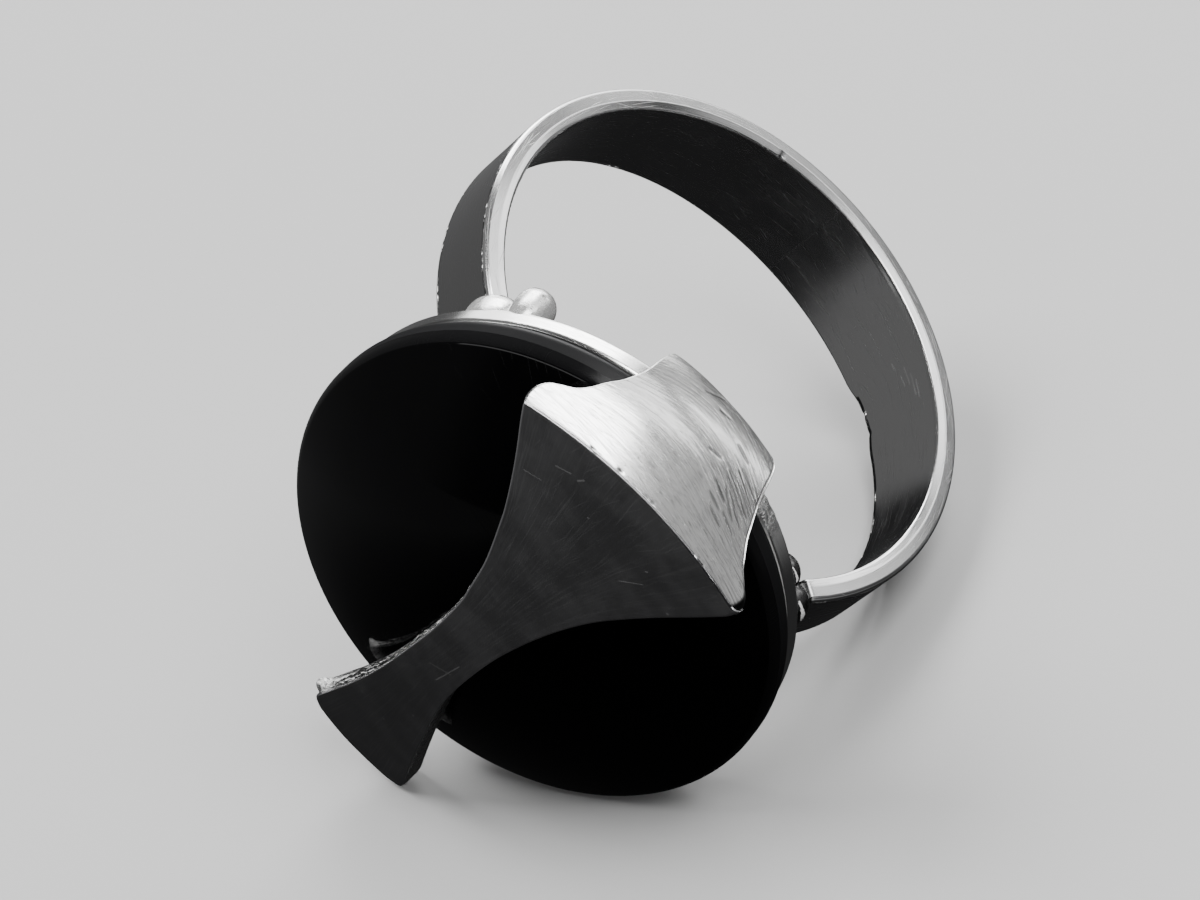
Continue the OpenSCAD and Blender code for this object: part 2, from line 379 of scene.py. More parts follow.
cup_silver, tree, shader, grain = new_material("cup_silver")
lines = use(tree, brushing, Grain=grain, Coarse_Share=0.3).outputs["Lines"]
marks = use(tree, scratches, Grain=grain, Amount=0.4).outputs["Mask"]
hollow = use(tree, pitting, Grain=grain, Pit_Size=0.14).outputs["Hollow"]
spoilt = math_node(tree, "MULTIPLY", painted(tree, "pitted"), hollow)
height = math_node(tree, "SUBTRACT", lines,
                   math_node(tree, "ADD", marks, math_node(tree, "MULTIPLY", spoilt, 12.0)))
# painted highlight: the share of the inner rim made matte and pale at the right
wear_and_highlight_share = painted(tree, "wear_and_highlight")
# painted shade darkens the collar wall at the stone's left
wire(tree, shader, Metallic=math_node(tree, "SUBTRACT", 1.0, math_node(tree, "MULTIPLY", wear_and_highlight_share, 0.8)),
     Base_Color=blend(tree, math_node(tree, "MAXIMUM", spoilt, painted(tree, "painted_shade")),
                      (0.9, 0.9, 0.89, 1), (0.3, 0.3, 0.3, 1)),
     Roughness=math_node(tree, "ADD", 0.2, math_node(tree, "MULTIPLY", spoilt, 0.25)),
     Normal=bump(tree, height, 0.0000012))

profile = [(r, 0.0) for r in (0.02, 1.0, 2.5, 4.0, 5.5, 7.0, 8.0, 8.3)]
for a in np.radians(np.linspace(0, 90, 6)):
    profile.append((CUP_R - FOOT_ROUND + FOOT_ROUND * math.sin(a), FOOT_ROUND - FOOT_ROUND * math.cos(a)))
profile += [(CUP_R, h) for h in np.linspace(0.18, 0.57, 8)]
for a in np.radians(np.linspace(0, 90, 8)):
    profile.append((CUP_R - RIM_ROUND + RIM_ROUND * math.cos(a), CUP_H - RIM_ROUND + RIM_ROUND * math.sin(a)))
for a in np.radians(np.linspace(100, 180, 6)):
    profile.append((CUP_R - 0.15 + RIM_INNER_ROUND * math.cos(a),
                    CUP_H - RIM_INNER_ROUND + RIM_INNER_ROUND * math.sin(a)))
profile += [(CUP_R - 0.23, CUP_H - 0.1), (CUP_R - COLLAR_T, CUP_H - 0.14), (CUP_R - COLLAR_T, PLATE_T)]
profile += [(r, PLATE_T) for r in (8.1, 7.0, 5.0, 3.0, 1.0, 0.02)]
STATIONS = 480
points, uv, pitted, painted_shade, wear_and_highlight = [], [], [], [], []
for k in range(STATIONS):
    turn = 2 * math.pi * k / STATIONS
    degree = math.degrees(turn) if turn <= math.pi else math.degrees(turn) - 360
    beside_foot = math.exp(-((degree - PITTED_DEGREE) / 5.5) ** 4)
    length = 0.0
    for n, (radius, h) in enumerate(profile):
        if n:
            length += math.hypot(radius - profile[n - 1][0], h - profile[n - 1][1])
        place = np.array([math.sin(turn) * radius, math.cos(turn) * radius, h])
        if radius > 8.2:
            rim = max(0.0, h - 0.4) / 0.32
            place[2] += rim * (0.012 * rough(place, 1.3, 2.0) + beside_foot * 0.05 * rough(place, 0.25, 6.0))
            radial = 0.008 * rough(place, 1.0, 8.0) + beside_foot * 0.05 * rough(place, 0.18, 9.0)
            place[:2] *= 1 + radial / radius
        points.append(HEAD + place)
        uv.append((math.radians(degree) * CUP_R, length))
        pitted.append(beside_foot if 0.1 < h and radius > 8.2 else 0.0)
        # painted shade: the wall is dark where the collar runs round the stone's left, as it mirrors dark
        # there
        painted_shade.append(1 / (1 + math.exp((degree - DARK_DEGREE) * 1.2)) if h < 0.68 else 0.0)
        # painted highlight: its inner rim is made matte and pale at the right, for a bright line
        on_rim = h > 0.66 and CUP_R - 0.24 < radius < CUP_R - 0.07
        wear_and_highlight.append(1.0 if on_rim and HIGHLIGHT_DEGREES[0] < degree < HIGHLIGHT_DEGREES[1] else 0.0)
make_piece("plate_and_collar", "silver_setting", points,
           grid_faces(STATIONS, len(profile), True, False), uv,
           {"pitted": pitted, "painted_shade": painted_shade, "wear_and_highlight": wear_and_highlight}, [cup_silver])

# ---------------------------------------------------------------- balls
# Small balls of melted silver, two at each side, soldered into the corners
# between band and plate. The solder drew each of them up to the plate.
BALLS = ((-6.0, 2.98, 8.04, 0.75), (-5.35, 4.38, 7.86, 0.68),
         (5.88, 4.48, 8.04, 0.7), (6.8, 3.84, 8.04, 0.73))
PLATE_FACE = 9.06
RUN_OUT = 0.3
ALONG_COLLAR = (0.505, 0.863)
WORN_LEFT = 0.2
ROOT_FROM = 0.3
ROOT_SHAPE = 3.2

ball_silver, tree, shader, grain = new_material("ball_silver")
marks = use(tree, scratches, Grain=grain, Amount=0.3).outputs["Mask"]
hollow = use(tree, pitting, Grain=grain, Pit_Size=0.3).outputs["Hollow"]
wear_and_highlight_share = painted(tree, "wear_and_highlight")
# painted shade: the right pair is dark, as it mirrors dark
tone = blend(tree, painted(tree, "painted_shade"), (0.92, 0.92, 0.91, 1), (0.16, 0.16, 0.16, 1))
wire(tree, shader, Metallic=math_node(tree, "SUBTRACT", 1.0, math_node(tree, "MULTIPLY", wear_and_highlight_share, 0.9)),
     # painted highlight: the wedges on the right pair are matte and near white
     Base_Color=blend(tree, wear_and_highlight_share, tone, (0.95, 0.95, 0.94, 1)),
     Roughness=math_node(tree, "ADD", remap(tree, hollow, 0.0, 1.0, 0.15, 0.3),
                         math_node(tree, "MULTIPLY", wear_and_highlight_share, 0.1)),
     Normal=bump(tree, math_node(tree, "SUBTRACT", hollow, marks), 0.0000015))

AROUND, DOWN = 120, 80
# painted highlights on the right pair, which is painted dark: from, to and half width, as directions on the
# ball
WEDGES = (((0.15, 0.98, 0.1), (0.71, 0.69, 0.12), 0.12),
          ((0.2, 0.92, 0.33), (0.8, 0.5, 0.33), 0.16))


def highlight_wedge(away, start, end, width):
    """1 where a direction lies in the wedge, else 0."""
    run = np.subtract(end, start)
    share = min(1.0, max(0.0, np.dot(away - start, run) / np.dot(run, run)))
    return float(np.linalg.norm(away - start - share * run) < width * (0.3 + 0.7 * share))


points, uv, painted_shade, wear_and_highlight, faces = [], [], [], [], []
for number, (*centre, ball_r) in enumerate(BALLS):
    start = len(points)
    for i in range(DOWN + 1):
        polar = math.pi * (0.004 + 0.992 * i / DOWN)
        for j in range(AROUND):
            turn = 2 * math.pi * j / AROUND
            away = np.array([math.sin(polar) * math.cos(turn), math.sin(polar) * math.sin(turn),
                             -math.cos(polar)])
            place = away * ball_r
            sunk = place[2] / ball_r
            if sunk > 0.0:
                # drawn up to the plate by the solder
                wide = (1 - sunk ** ROOT_SHAPE) ** (1 / ROOT_SHAPE)
                place[:2] *= wide / max(1e-6, math.sqrt(1 - sunk ** 2))
                rise = max(0.0, sunk - ROOT_FROM) / (1 - ROOT_FROM)
                place[2] += rise * (PLATE_FACE - centre[2] - ball_r)
            if number == 0:
                # the first ball ran out wide along the collar
                place[:2] += RUN_OUT * np.dot(place[:2], ALONG_COLLAR) * np.array(ALONG_COLLAR)
            place *= 1 + 0.025 * rough(away, 0.9, 3.0 + number)
            points.append(place + centre)
            uv.append((turn * ball_r + 3 * number, polar * ball_r))
            # painted shade on the right pair
            painted_shade.append(1.0 if number > 1 else 0.0)
            wear_and_highlight.append(highlight_wedge(away, *WEDGES[number - 2]) if number > 1 else WORN_LEFT)
    faces += grid_faces(DOWN + 1, AROUND, False, True, start)
    for ring, flip in ((0, True), (DOWN, False)):
        corner = [start + ring * AROUND + j for j in range(AROUND)]
        faces.append(tuple(reversed(corner)) if flip else tuple(corner))
make_piece("balls", "silver_setting", points, faces, uv,
           {"painted_shade": painted_shade, "wear_and_highlight": wear_and_highlight}, [ball_silver])

# ---------------------------------------------------------------- onyx
# Round cabochon of black onyx, ground with a low dome, a tight shoulder and a
# nearly upright side. The dome is polished to a mirror, the side is left satin.
# It stands in the collar, under the strap.
STONE_R = 8.73
STONE_SIDE = 1.68
SHOULDER_R = 0.54
UNDER_R = 0.58
CROWN = 4.47
FOOT_R = 8.155
FOOT_H = 0.49
GIRDLE_H = 1.33
SIDE_LEAN = 20.0

black_onyx, tree, shader, grain = new_material("black_onyx")
haze = stretched(tree, grain, 2.0, 2.0, 4.0, 2.0)
marks = use(tree, scratches, Grain=grain, Amount=0.15).outputs["Mask"]
side_share = painted(tree, "side")
black = blend(tree, haze, (0.0008, 0.0008, 0.0009, 1), (0.0014, 0.0014, 0.0016, 1))
satin = math_node(tree, "ADD", math_node(tree, "MULTIPLY", marks, 0.1),
                  math_node(tree, "MULTIPLY", side_share, 0.34))
height = math_node(tree, "SUBTRACT", math_node(tree, "MULTIPLY", haze, 0.5), marks)
# the side is satin; its paler base colour is painted sheen, for the grey it mirrors
wire(tree, shader, Metallic=0.0, IOR=1.54, Specular_IOR_Level=0.14,
     Base_Color=blend(tree, side_share, black, (0.009, 0.009, 0.0095, 1)),
     Roughness=math_node(tree, "ADD", remap(tree, haze, 0.3, 0.7, 0.03, 0.06), satin),
     Normal=bump(tree, height, 0.0000004, bump(tree, painted(tree, "fall"), 0.001)))

shoulder_x = STONE_R - SHOULDER_R
rise = CROWN - STONE_SIDE
dome_r = (shoulder_x ** 2 + rise ** 2 - SHOULDER_R ** 2) / (2 * (rise - SHOULDER_R))
meet = math.asin(shoulder_x / (dome_r - SHOULDER_R))
profile = [(r, FOOT_H) for r in (0.02, 3.0, 6.0, 7.6, 8.05)]
profile += [(FOOT_R, FOOT_H + 0.08), (FOOT_R, FOOT_H + 0.3)]
for a in np.radians(np.linspace(-80, 0, 14)):
    profile.append((STONE_R - UNDER_R + UNDER_R * math.cos(a), GIRDLE_H + UNDER_R * math.sin(a)))
profile += [(STONE_R, h) for h in np.linspace(GIRDLE_H + 0.06, STONE_SIDE - 0.02, 6)]
for a in np.linspace(0, math.pi / 2 - meet, 18):
    profile.append((shoulder_x + SHOULDER_R * math.cos(a), STONE_SIDE + SHOULDER_R * math.sin(a)))
for a in np.linspace(meet, 0.0015, 60)[1:]:
    profile.append((dome_r * math.sin(a), CROWN - dome_r + dome_r * math.cos(a)))
# the side was ground leaning in a little; height of that lean along the profile
lean_in = [0.0]
for (r0, h0), (r1, h1) in zip(profile, profile[1:]):
    steep = math.degrees(math.atan2(r0 - r1, h1 - h0))
    slope = math.tan(math.radians(min(SIDE_LEAN, max(0.0, SIDE_LEAN - steep)))) if h0 > 0.6 else 0.0
    lean_in.append(lean_in[-1] - slope * math.hypot(r1 - r0, h1 - h0))
STATIONS = 360
points, uv, side, fall = [], [], [], []
for k in range(STATIONS):
    turn = 2 * math.pi * k / STATIONS
    for (radius, h), fallen in zip(profile, lean_in):
        place = np.array([math.sin(turn) * radius, math.cos(turn) * radius, h])
        if h > 1.0:
            place *= 1 + 0.0003 * rough(place, 4.0, 1.0)
        points.append(HEAD + place)
        uv.append((place[0], place[1] + h * 0.5))
        side.append(1.0 if h < STONE_SIDE + 0.02 else 0.4 if h < 2.1 else 0.0)
        fall.append(fallen)
faces = grid_faces(STATIONS, len(profile), True, False)
faces.append(tuple(k * len(profile) for k in reversed(range(STATIONS))))
faces.append(tuple(k * len(profile) + len(profile) - 1 for k in range(STATIONS)))
make_piece("onyx_cabochon", "onyx", points, faces, uv,
           {"side": side, "fall": fall}, [black_onyx])

# ---------------------------------------------------------------- strap
# One piece of silver sheet, sawn out with hollow borders and a narrow tail, bent
# over the stone and folded down at a scored crease. The broad half and the tail
# are satin, the flap is filed bright along the crease, the sawn edges are rough.
SHEET_T = 1.0
STRAP_H = 5.58
NEAR_R = 62.0
FAR_R = 24.0
FLAP_R = 5.45
FLAP_Z = 1.76
FLAP_ROUND = 13.93
FLAP_Y = 4.43
FLAP_X = 0.6
EDGE_ROUND = 0.07
CORNER_ROUND = 0.22
TIP_ROUND = 0.38
INNER_ROUND = 0.08
SCORE_DEPTH = 0.05
GROOVE_DEPTH = 0.03
FILE_DEPTH = 0.0028
GOUGE_DEPTH = 0.017
TORN_DEPTH = 0.13
TORN_SHARE = 0.62
KNOB = 0.3
FOLD_REACH = 2.2
# borders: place along the finger or height first, place across second; and the other way round
# for the two ends
LEFT_BORDER = ((-10.3, -1.30), (-9.4, -1.25), (-8.2, -1.17), (-7.15, -1.07), (-4.76, -0.92),
               (-2.15, -0.91), (-0.67, -0.96), (0.70, -1.11), (1.27, -1.24), (2.70, -1.62),
               (4.36, -2.31), (5.06, -2.66), (5.90, -3.14), (6.69, -3.64), (7.49, -4.19), (8.15, -4.62))
RIGHT_BORDER = ((-10.1, 2.86), (-9.2, 2.62), (-8.03, 2.31), (-6.9, 2.0), (-5.80, 1.72), (-4.25, 1.31),
                (-2.71, 1.06), (-0.48, 1.01), (1.26, 1.19), (2.76, 1.50), (4.08, 1.93), (5.17, 2.46),
                (6.2, 3.05), (7.16, 3.67), (7.9, 4.14), (8.5, 4.5))
TAIL_END = ((-1.30, -10.3), (-1.26, -10.42), (-0.93, -10.68), (-0.2, -10.97), (0.5, -11.1), (1.2, -11.06),
            (1.9, -10.9), (2.35, -10.72), (2.62, -10.52), (2.80, -10.32), (2.86, -10.1))
FLAP_LEFT = ((4.95, -4.62), (4.67, -4.67), (4.43, -4.63), (4.20, -4.45), (4.06, -4.19), (3.85, -3.78),
             (3.53, -3.50), (3.12, -3.27), (2.78, -3.04), (2.47, -2.89), (2.05, -2.74), (1.59, -2.64),
             (0.98, -2.57), (0.59, -2.50), (0.26, -2.40))
FLAP_RIGHT = ((5.0, 4.5), (4.75, 4.52), (4.55, 4.42), (4.35, 4.05), (4.13, 3.68), (3.88, 3.43),
              (3.52, 3.13), (3.19, 2.95), (2.52, 2.66), (1.90, 2.48), (1.45, 2.40), (1.04, 2.33),
              (0.72, 2.25), (0.5, 2.12))
FLAP_FOOT = ((-2.40, 0.26), (-2.3, 0.16), (-2.1, 0.09), (-1.80, 0.04), (-1.00, 0.0), (-0.12, 0.05),
             (0.80, 0.15), (1.56, 0.31), (1.9, 0.38), (2.05, 0.44), (2.12, 0.5))


def smooth_line(table, amount):
    """Even points along a smooth curve through the table's points."""
    table = np.asarray(table, float)
    padded = np.vstack([2 * table[0] - table[1], table, 2 * table[-1] - table[-2]])
    out = []
    for i in range(1, len(padded) - 2):
        p0, p1, p2, p3 = padded[i - 1:i + 3]
        for t in np.linspace(0, 1, 24, endpoint=False):
            out.append(0.5 * (2 * p1 + (p2 - p0) * t + (2 * p0 - 5 * p1 + 4 * p2 - p3) * t ** 2
                              + (3 * p1 - p0 - 3 * p2 + p3) * t ** 3))
    out.append(table[-1])
    out = np.array(out)
    walked = np.concatenate([[0], np.cumsum(np.hypot(*np.diff(out, axis=0).T))])
    place = np.interp(amount, np.linspace(0, 1, 2001), np.linspace(0, walked[-1], 2001))
    return np.stack([np.interp(place, walked, out[:, k]) for k in (0, 1)], axis=1)


def patch(bottom, top, left, right, across, along):
    """Grid of points spanned by four border curves that meet at their ends."""
    u, v = across[None, :, None], along[:, None, None]
    corners = ((1 - u) * (1 - v) * bottom[0] + u * (1 - v) * bottom[-1]
               + (1 - u) * v * top[0] + u * v * top[-1])
    return (1 - v) * bottom[None] + v * top[None] + (1 - u) * left[:, None] + u * right[:, None] - corners


def crowd(count, low_end, high_end):
    """Steps from 0 to 1 that close up towards the ends asked for."""
    t = np.linspace(0, 1, count)
    speed = 1 - low_end * np.exp(-t * 14) - high_end * np.exp(-(1 - t) * 14)
    place = np.concatenate([[0], np.cumsum((speed[1:] + speed[:-1]) / 2)])
    return place / place[-1]


def face_height(y):
    """Height of the strap's face over the plate's underside."""
    radius = np.where(y > 0, NEAR_R, FAR_R)
    return STRAP_H - radius + np.sqrt(radius ** 2 - y ** 2)


def flap_depth(x, z):
    """Distance along the finger of the flap's outer face."""
    out = FLAP_ROUND + np.sqrt(FLAP_R ** 2 - (z - FLAP_Z) ** 2)
    return FLAP_Y - FLAP_ROUND + np.sqrt(out ** 2 - (x - FLAP_X) ** 2)


def swap(table):
    """A border's table with its two columns changed over."""
    return [(b, a) for a, b in table]


ACROSS = crowd(150, 0.8, 0.8)
ALONG_FACE = crowd(140, 0.7, 0.75)
ALONG_FLAP = crowd(110, 0.3, 0.7)
left_top, right_top = -4.62, 4.5
crease_x = left_top + (right_top - left_top) * ACROSS
crease_z = np.full(len(ACROSS), 5.0)
for _ in range(30):
    crease_z = face_height(flap_depth(crease_x, crease_z))
crease_y = flap_depth(crease_x, crease_z)
crease = np.stack([crease_x, crease_y], axis=1)
left_side = smooth_line(swap(LEFT_BORDER), ALONG_FACE)
right_side = smooth_line(swap(RIGHT_BORDER), ALONG_FACE)
left_side[-1], right_side[-1] = crease[0], crease[-1]
tail = smooth_line(TAIL_END, ACROSS)
tail[0], tail[-1] = left_side[0], right_side[0]
face_plan = patch(tail, crease, left_side, right_side, ACROSS, ALONG_FACE)
face = np.dstack([face_plan[..., 0], face_plan[..., 1], face_height(face_plan[..., 1])])

crease_front = np.stack([crease_x, crease_z], axis=1)
left_down = smooth_line(swap(FLAP_LEFT), ALONG_FLAP)
right_down = smooth_line(swap(FLAP_RIGHT), ALONG_FLAP)
left_down[0], right_down[0] = crease_front[0], crease_front[-1]
foot = smooth_line(FLAP_FOOT, ACROSS)
foot[0], foot[-1] = left_down[-1], right_down[-1]
flap_plan = patch(crease_front, foot, left_down, right_down, ACROSS, ALONG_FLAP)
flap = np.dstack([flap_plan[..., 0], flap_depth(flap_plan[..., 0], flap_plan[..., 1]), flap_plan[..., 1]])

outer = np.vstack([face, flap[1:]])
ROWS, COLUMNS = outer.shape[:2]
CREASE_ROW = len(face) - 1


def unit(v):
    """Directions of length 1."""
    return v / np.maximum(np.linalg.norm(v, axis=-1, keepdims=True), 1e-12)


face_radius = np.where(face[..., 1] > 0, NEAR_R, FAR_R)
face_out = unit(np.dstack([np.zeros(face.shape[:2]), face[..., 1], face[..., 2] - STRAP_H + face_radius]))
around = np.hypot(flap[..., 0] - FLAP_X, flap[..., 1] - FLAP_Y + FLAP_ROUND)
lean = around - FLAP_ROUND
flap_out = unit(np.dstack([(flap[..., 0] - FLAP_X) / around * lean,
                           (flap[..., 1] - FLAP_Y + FLAP_ROUND) / around * lean, flap[..., 2] - FLAP_Z]))
out = np.vstack([face_out, flap_out[1:]])
mitre = face_out[-1] + flap_out[0]
mitre /= 1 + np.sum(face_out[-1] * flap_out[0], axis=1, keepdims=True)
out[CREASE_ROW] = unit(mitre)

row_step = np.linalg.norm(np.diff(outer, axis=0), axis=2)
walked = np.vstack([np.zeros(COLUMNS), np.cumsum(row_step, axis=0)])
from_tail = walked
to_foot = walked[-1] - walked
from_crease = walked - walked[CREASE_ROW]
column_step = np.linalg.norm(np.diff(outer, axis=1), axis=2)
from_left = np.hstack([np.zeros((ROWS, 1)), np.cumsum(column_step, axis=1)])
to_right = from_left[:, -1:] - from_left

# the crease's left corner is filed round
outer[..., 0] += 0.13 * np.exp(-(from_left / 0.22) ** 2 - (from_crease / 0.14) ** 2)
# rounding of the borders; wide at the flap's right tip
edge = EDGE_ROUND + CORNER_ROUND * np.exp(-(np.hypot(from_left, from_tail) / 0.5) ** 4)
on_flap = from_crease > 0
tip = np.where(on_flap, np.exp(-(from_crease / 1.1) ** 2), np.exp(-(from_crease / 0.25) ** 2))
edge_right = EDGE_ROUND + TIP_ROUND * tip


def rounding(distance, radius):
    """How far a rounded edge falls away at a distance from the border."""
    inside_edge = np.clip(radius - distance, 0, radius)
    return radius - np.sqrt(radius ** 2 - inside_edge ** 2)


drop = np.maximum.reduce([rounding(from_left, edge), rounding(to_right, edge_right),
                          rounding(from_tail, edge), rounding(to_foot, edge)])

flat = outer.reshape(-1, 3)
# scored line beside the crease, and a notch and pits along it
score = SCORE_DEPTH * np.exp(-((from_crease + 0.09) / 0.045) ** 2)
score *= 1 - np.exp(-(from_left / 0.3) ** 2)
score += 0.09 * np.exp(-(((outer[..., 0] + 2.14) / 0.07) ** 2 + ((from_crease - 0.02) / 0.08) ** 2))
for x, along in ((0.01, 0.12), (0.22, 0.1), (-1.1, 0.14), (2.35, 0.06)):
    score += 0.03 * np.exp(-(((outer[..., 0] - x) / 0.05) ** 2 + ((from_crease - along) / 0.05) ** 2))
# a fine groove beside the flap's right border, wider at the tip
groove = 0.1 + 0.16 * np.exp(-from_crease / 0.8)
score += np.where(on_flap, GROOVE_DEPTH * np.exp(-((to_right - groove) / 0.035) ** 2), 0.0)
# file marks on the flap, nearly along the crease, and gouges of a coarse file at its lower right
u, v = outer[..., 0], from_crease
file_lines = np.array([rough((a * 0.14, b + 0.14 * a, 0.0), 0.13, 5.0)
                       for a, b in zip(u.ravel(), v.ravel())]).reshape(u.shape)
GOUGES = ((0.33, 2.82, 0.78, 2.94), (1.20, 1.88, 1.79, 1.82), (1.44, 2.53, 2.31, 2.11),
          (1.63, 2.62, 2.64, 2.24), (1.35, 2.80, 2.42, 2.61), (1.30, 2.95, 2.55, 2.79),
          (1.44, 3.32, 2.51, 3.20), (1.57, 1.55, 2.19, 1.48), (1.10, 2.35, 1.75, 2.20),
          (1.50, 3.52, 2.30, 3.50), (1.90, 1.95, 2.60, 1.80), (-0.87, 4.70, -0.25, 5.02),
          (0.90, 3.95, 1.50, 3.92), (-0.20, 4.40, 0.20, 4.42))
gouges_and_shade = np.zeros(u.shape)
for x0, v0, x1, v1 in GOUGES:
    run = np.array([x1 - x0, v1 - v0])
    t = np.clip(((u - x0) * run[0] + (v - v0) * run[1]) / (run @ run), 0, 1)
    off = np.hypot(u - x0 - t * run[0], v - v0 - t * run[1])
    width = 0.03 + 0.035 * np.sin(math.pi * np.clip(t, 0.05, 0.95))
    gouges_and_shade = np.maximum(gouges_and_shade, np.exp(-(off / width) ** 2))
gouges_and_shade = np.where(on_flap, gouges_and_shade, 0.0)
# painted shade: a soft darker patch round the coarsely filed place
painted_shade_halo = 0.5 * np.exp(-((u - 2.3) / 0.8) ** 2 - ((v - 2.9) / 1.3) ** 2)
filed = np.where(on_flap, FILE_DEPTH * file_lines - GOUGE_DEPTH * gouges_and_shade, 0.0)
# the face is slightly uneven from bending, the flap hardly
wave = np.where(on_flap, 0.0015, 0.006) * ripple(flat, 2.6, 3.0).reshape(u.shape)
outer_made = outer - out * (drop + score - filed - wave)[..., None]

# inner face: a sheet's thickness below, drawn away from the fold
inner_drop = np.maximum.reduce([rounding(d, INNER_ROUND) for d in (from_left, to_right, from_tail, to_foot)])
inner = outer - out * (SHEET_T - inner_drop)[..., None]
inner[CREASE_ROW] = outer[CREASE_ROW] - mitre * SHEET_T
half_fold = np.arccos(np.clip(np.sum(face_out[-1] * flap_out[0], axis=1), -1, 1)) / 2
draw = np.tan(half_fold) * SHEET_T
for i in range(ROWS):
    d = np.abs(from_crease[i])
    if i == CREASE_ROW or d.min() > FOLD_REACH:
        continue
    other = outer[i - 1] if i < CREASE_ROW else outer[i + 1]
    away = unit(other - outer[i])
    inner[i] += away * (draw * np.clip(1 - d / FOLD_REACH, 0, 1))[:, None]

# side walls: layers between the outer and the inner grid along all four borders
LAYERS = 14
points = [outer_made.reshape(-1, 3), inner.reshape(-1, 3)]
count = ROWS * COLUMNS
border = [(0, j) for j in range(COLUMNS)] + [(i, COLUMNS - 1) for i in range(1, ROWS)]
border += [(ROWS - 1, j) for j in range(COLUMNS - 2, -1, -1)] + [(i, 0) for i in range(ROWS - 2, 0, -1)]
AROUND_BORDER = len(border)
rim_out = np.array([outer_made[i, j] for i, j in border])
rim_in = np.array([inner[i, j] for i, j in border])
border_line = np.array([outer[i, j] for i, j in border])
ahead = unit(np.roll(border_line, -1, axis=0) - np.roll(border_line, 1, axis=0))
down = unit(rim_in - rim_out)
side_out = unit(np.cross(ahead, -down))
for k, (i, j) in enumerate(border):
    if np.dot(side_out[k], outer[i, j] - outer[min(max(i, 3), ROWS - 4), COLUMNS // 2]) < 0:
        side_out[k] = -side_out[k]
# the left border was torn off from the tail to the waist; the others are sawn
torn = np.array([1.0 if (j == 0 and i < CREASE_ROW * TORN_SHARE) else 0.16 for i, j in border])
torn = np.convolve(np.concatenate([torn[-4:], torn, torn[:4]]), np.ones(9) / 9, "valid")
# the torn border ends in a round knob at the tail's corner
knob = np.array([KNOB * math.exp(-(math.hypot(from_left[i, j], from_tail[i, j]) / 0.5) ** 2)
                 for i, j in border])
wall_points = []
for k in range(1, LAYERS):
    t = k / LAYERS
    line = rim_out * (1 - t) + rim_in * t
    bulge = np.sin(math.pi * t)
    pits = ripple(line, 0.17, 12.0) * 0.7 + ripple(line, 0.5, 15.0) * 0.6
    swell = bulge ** 0.5 * (0.02 + torn * TORN_DEPTH * pits) + np.sin(math.pi * t ** 0.6) * knob
    wall_points.append(line + side_out * swell[:, None])
points += wall_points

faces = [f[::-1] for f in grid_faces(ROWS, COLUMNS)]
which = [0 if i < CREASE_ROW else 1 for i in range(ROWS - 1) for _ in range(COLUMNS - 1)]
faces += grid_faces(ROWS, COLUMNS, start=count)
which += [2] * ((ROWS - 1) * (COLUMNS - 1))
ring = [[i * COLUMNS + j for i, j in border]]
ring += [[2 * count + k * AROUND_BORDER + n for n in range(AROUND_BORDER)] for k in range(LAYERS - 1)]
ring += [[count + i * COLUMNS + j for i, j in border]]
for k in range(LAYERS):
    for n in range(AROUND_BORDER):
        m = (n + 1) % AROUND_BORDER
        faces.append((ring[k][n], ring[k][m], ring[k + 1][m], ring[k + 1][n]))
        which.append(2)
strap_points = HEAD + np.concatenate(points)
plan = np.dstack([outer[..., 0], np.where(on_flap, from_crease + 0.14 * outer[..., 0] + 12.0, outer[..., 1])])
depths = np.linspace(0, 1, LAYERS + 1)[1:-1]
uv = np.concatenate([plan.reshape(-1, 2), plan.reshape(-1, 2)]
                    + [np.array([(from_tail[i, j] + 30, t) for i, j in border]) for t in depths])
on_walls = np.zeros(AROUND_BORDER * (LAYERS - 1))
elsewhere = np.zeros(count + AROUND_BORDER * (LAYERS - 1))
across_value = np.concatenate([np.tile((ACROSS - 0.5) * 6.0, 2 * ROWS), on_walls])
gouge_and_shade_value = np.concatenate([np.maximum(gouges_and_shade, painted_shade_halo).ravel(), elsewhere])
# painted shade: the sheet's corner beyond the flap's tip is dark, as it mirrors dark
corner_wide = 0.45 * np.exp(-(from_crease / 0.75) ** 2)
corner = np.where(on_flap, 1 / (1 + np.exp((to_right - corner_wide) * 60)), 0.0)
corner *= np.exp(-(from_crease / 0.9) ** 4)
corner_value = np.concatenate([corner.ravel(), elsewhere])
on_torn = (torn > 0.5).astype(float)
torn_value = np.concatenate([np.zeros(2 * count)]
                            + [on_torn * min(1.0, 12 * max(0.0, t - 0.06), 3.2 * (1 - t)) for t in depths])

FACE_SCRATCHES = (
    ((0.42, -2.86), (0.52, -1.5), 0.03), ((-0.13, -2.46), (0.57, -2.09), 0.022),
    ((-2.47, 7.35), (-2.0, 7.56), 0.03), ((1.42, 6.1), (1.96, 6.68), 0.022),
    ((-2.99, 6.36), (-2.43, 6.57), 0.025), ((-1.7, 7.57), (-1.59, 7.74), 0.05),
    ((1.71, 7.1), (1.74, 7.13), 0.04), ((-0.65, 6.89), (-0.62, 6.9), 0.04),
    ((3.11, 6.59), (3.14, 6.6), 0.04), ((0.93, -5.31), (0.96, -5.33), 0.04),
    ((0.48, -7.01), (0.52, -7.0), 0.035), ((-0.65, -6.76), (-0.61, -6.77), 0.035))

